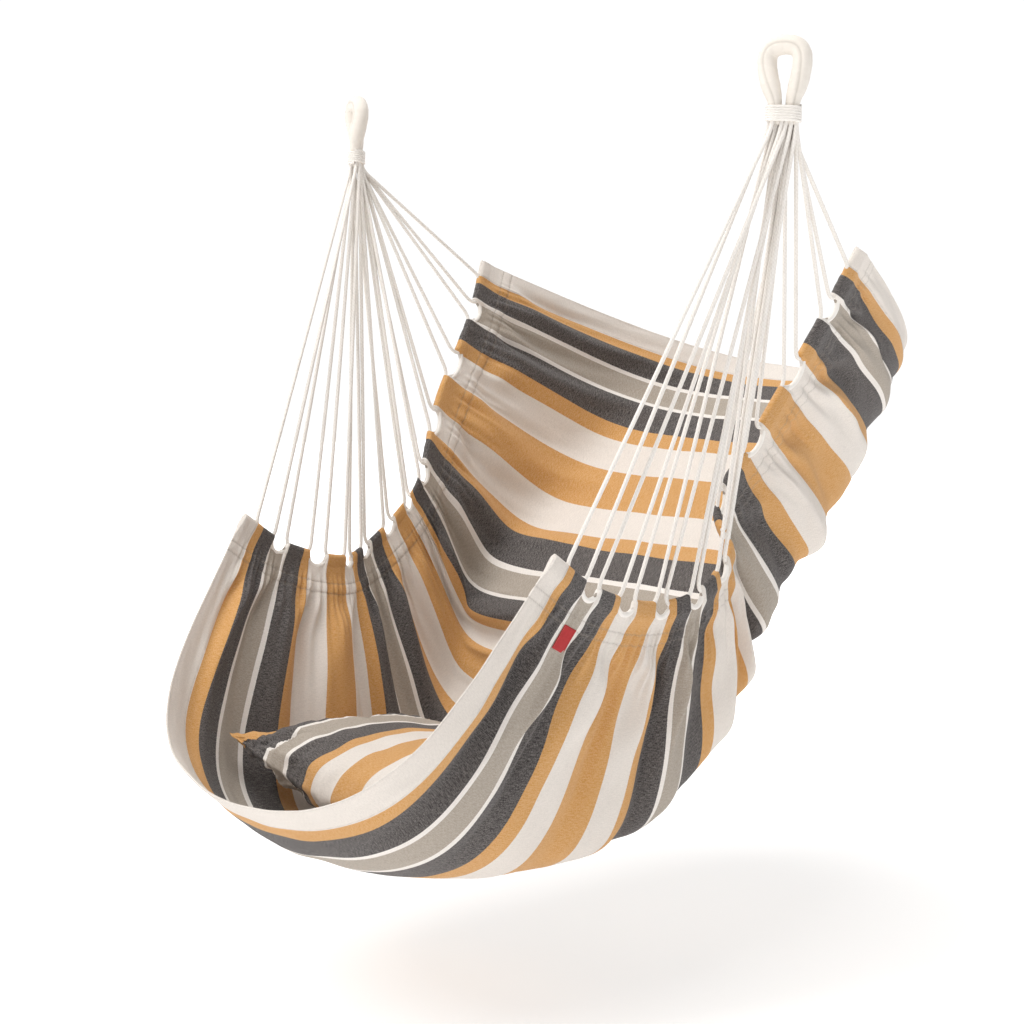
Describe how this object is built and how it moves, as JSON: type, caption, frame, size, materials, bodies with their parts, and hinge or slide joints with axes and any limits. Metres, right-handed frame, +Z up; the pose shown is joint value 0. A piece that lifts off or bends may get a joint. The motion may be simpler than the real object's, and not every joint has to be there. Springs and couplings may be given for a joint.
{
  "type": "hammock chair",
  "caption": "Hanging hammock chair: a striped cloth bowl gathered along both sides on cords that fan down from padded rope eyes, with a loose seat cushion.",
  "frame": {"origin": "middle of the hanging line, halfway between the bearing points of the two eyes on their hooks", "axes": "+Z up, +X towards the right-hand eye as seen from the front rim, -Y towards the front rim"},
  "size_m": [1.0542, 1.3199, 1.2635],
  "materials": {
    "striped_cotton": "woven, striped",
    "cushion_fabric": "woven, striped",
    "cushion_filling": "loose fibre",
    "cotton_cord": "twisted, off-white",
    "edge_rope": "smooth, white",
    "eye_sleeve": "padded, off-white",
    "whipping_cord": "wound, off-white",
    "label": "woven, plain red",
    "label_thread": "thread"
  },
  "bodies": {
    "eyes": {"right_eye_sleeve": "eye_sleeve", "right_eye_rope": "cotton_cord", "right_whipping": "whipping_cord", "left_eye_sleeve": "eye_sleeve", "left_eye_rope": "cotton_cord", "left_whipping": "whipping_cord"},
    "seat": {"striped_cloth": "striped_cotton", "right_cord_01": "cotton_cord", "right_cord_02": "cotton_cord", "right_cord_03": "cotton_cord", "right_cord_04": "cotton_cord", "right_cord_05": "cotton_cord", "right_cord_06": "cotton_cord", "right_cord_07": "cotton_cord", "right_cord_08": "cotton_cord", "right_cord_09": "cotton_cord", "right_cord_10": "cotton_cord", "right_cord_11": "cotton_cord", "left_cord_01": "cotton_cord", "left_cord_02": "cotton_cord", "left_cord_03": "cotton_cord", "left_cord_04": "cotton_cord", "left_cord_05": "cotton_cord", "left_cord_06": "cotton_cord", "left_cord_07": "cotton_cord", "left_cord_08": "cotton_cord", "left_cord_09": "cotton_cord", "left_cord_10": "cotton_cord", "left_cord_11": "cotton_cord", "right_edge_rope": "edge_rope", "left_edge_rope": "edge_rope", "woven_label": "label", "label_thread": "label_thread"},
    "cushion": {"cushion_cover": "cushion_fabric", "cushion_filling": "cushion_filling"}
  },
  "joints": [
    {"name": "seat_swing", "type": "hinge", "parent": "eyes", "child": "seat", "pos_m": [0, 0, -0.112], "axis": [1, 0, 0], "range_deg": [-25, 25]},
    {"name": "cushion_lift", "type": "slide", "parent": "seat", "child": "cushion", "axis": [0, 0, 1], "range_m": [0, 1.3]}
  ]
}
